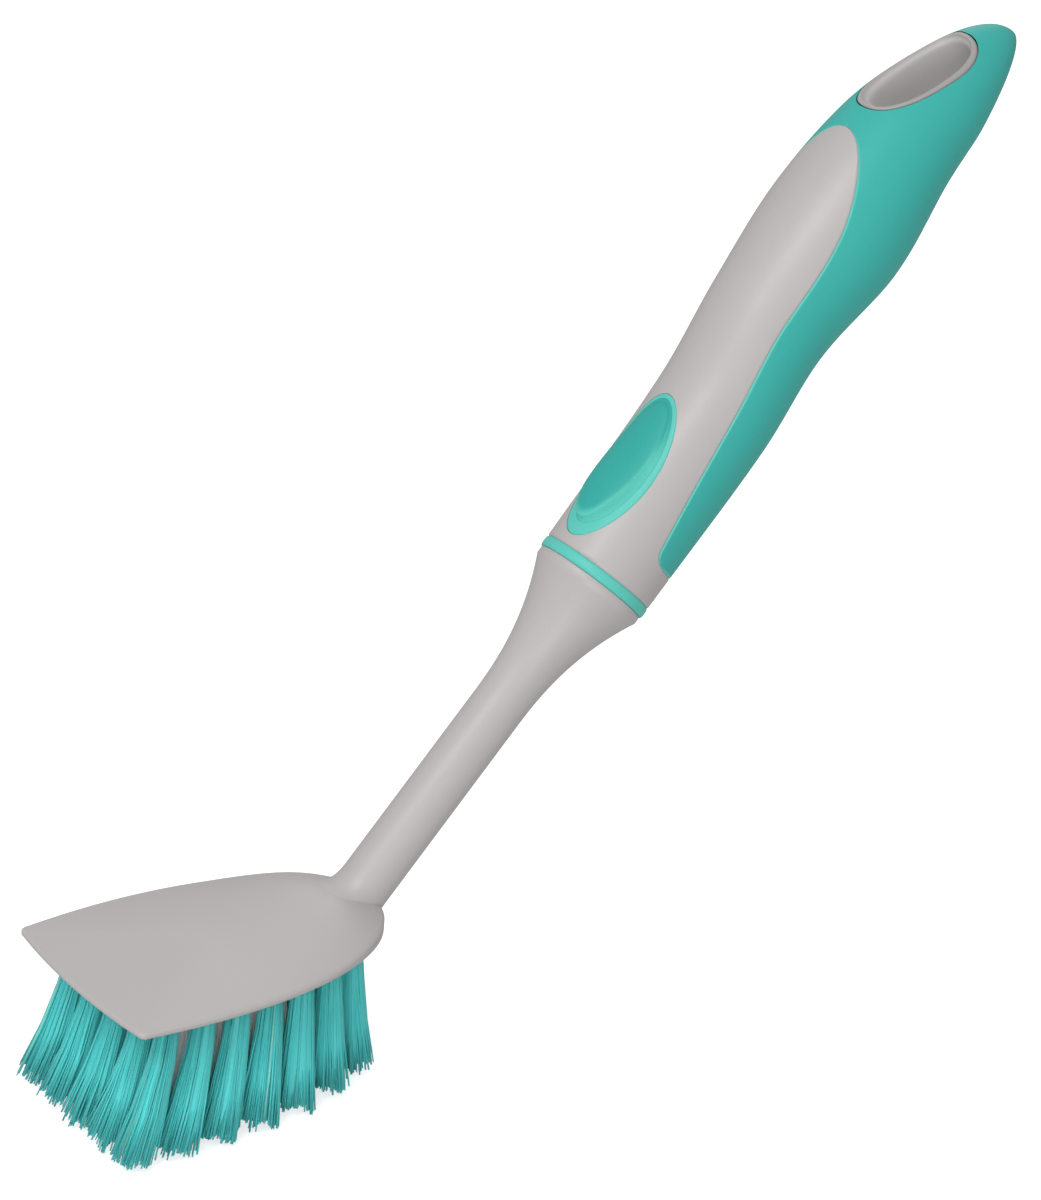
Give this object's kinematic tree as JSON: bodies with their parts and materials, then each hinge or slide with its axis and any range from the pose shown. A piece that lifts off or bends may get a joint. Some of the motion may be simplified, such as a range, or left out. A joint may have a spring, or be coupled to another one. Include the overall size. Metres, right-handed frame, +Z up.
{
  "type": "dish wand",
  "caption": "Dish wand with a bristle head on a slim neck and a thick grip that holds soap, a thumb button, a screw joint for filling and a hang slot.",
  "frame": {"origin": "middle of the outline on the surface that the bristle tips stand on", "axes": "+X from the scraping edge to the tail, +Z up, square to the head plate, +Y across"},
  "size_m": [0.2224, 0.0502, 0.205],
  "materials": {
    "grey_plastic": "satin",
    "teal_rubber": "matte",
    "light_teal_rubber": "satin",
    "teal_bristles": "satin",
    "grey_bristles": "satin",
    "clear_silicone": "matte",
    "steel": "brushed"
  },
  "bodies": {
    "grip": {"grip_body": "grey_plastic", "grip_spine": "teal_rubber", "hang_liner": "grey_plastic", "button_frame": "light_teal_rubber", "button_web": "light_teal_rubber"},
    "button": {"button_pad": "teal_rubber"},
    "ring": {"seal_ring": "teal_rubber"},
    "head": {"head_moulding": "grey_plastic", "bristle_block": "grey_plastic", "outlet_nozzle": "teal_rubber", "tuft_staples": "steel", "slit_valve": "clear_silicone", "valve_retainer": "grey_plastic", "tuft_teal_1_1": "teal_bristles", "tuft_teal_1_2": "teal_bristles", "tuft_teal_1_3": "teal_bristles", "tuft_teal_1_4": "teal_bristles", "tuft_teal_1_5": "teal_bristles", "tuft_teal_2_1": "teal_bristles", "tuft_grey_2_2": "grey_bristles", "tuft_grey_2_3": "grey_bristles", "tuft_grey_2_4": "grey_bristles", "tuft_teal_2_5": "teal_bristles", "tuft_teal_3_1": "teal_bristles", "tuft_grey_3_2": "grey_bristles", "tuft_grey_3_3": "grey_bristles", "tuft_grey_3_4": "grey_bristles", "tuft_teal_3_5": "teal_bristles", "tuft_teal_4_1": "teal_bristles", "tuft_grey_4_2": "grey_bristles", "tuft_grey_4_4": "grey_bristles", "tuft_teal_4_5": "teal_bristles", "tuft_teal_5_1": "teal_bristles", "tuft_grey_5_2": "grey_bristles", "tuft_grey_5_3": "grey_bristles", "tuft_teal_5_4": "teal_bristles", "tuft_teal_6_1": "teal_bristles", "tuft_teal_6_2": "teal_bristles", "tuft_teal_6_3": "teal_bristles", "tuft_teal_6_4": "teal_bristles", "tuft_teal_7_1": "teal_bristles", "tuft_teal_7_2": "teal_bristles", "tuft_teal_7_3": "teal_bristles"}
  },
  "joints": [
    {"name": "button_press", "type": "slide", "parent": "grip", "child": "button", "axis": [0.7431, 0, -0.6691], "range_m": [0, 0.0022], "stiffness_N_per_m": 1500, "deforming": ["button_web"]},
    {"name": "ring_slide", "type": "slide", "parent": "grip", "child": "ring", "axis": [-0.6691, 0, -0.7431], "range_m": [0, 0.0038]},
    {"name": "neck_turn", "type": "hinge", "parent": "ring", "child": "head", "pos_m": [0.01151, 0, 0.0965], "axis": [-0.6691, 0, -0.7431], "range_deg": [0, 540]}
  ],
  "couplings": [
    {"joint": "ring_slide", "follows": "neck_turn", "m_per_rad": 0.00039789}
  ]
}
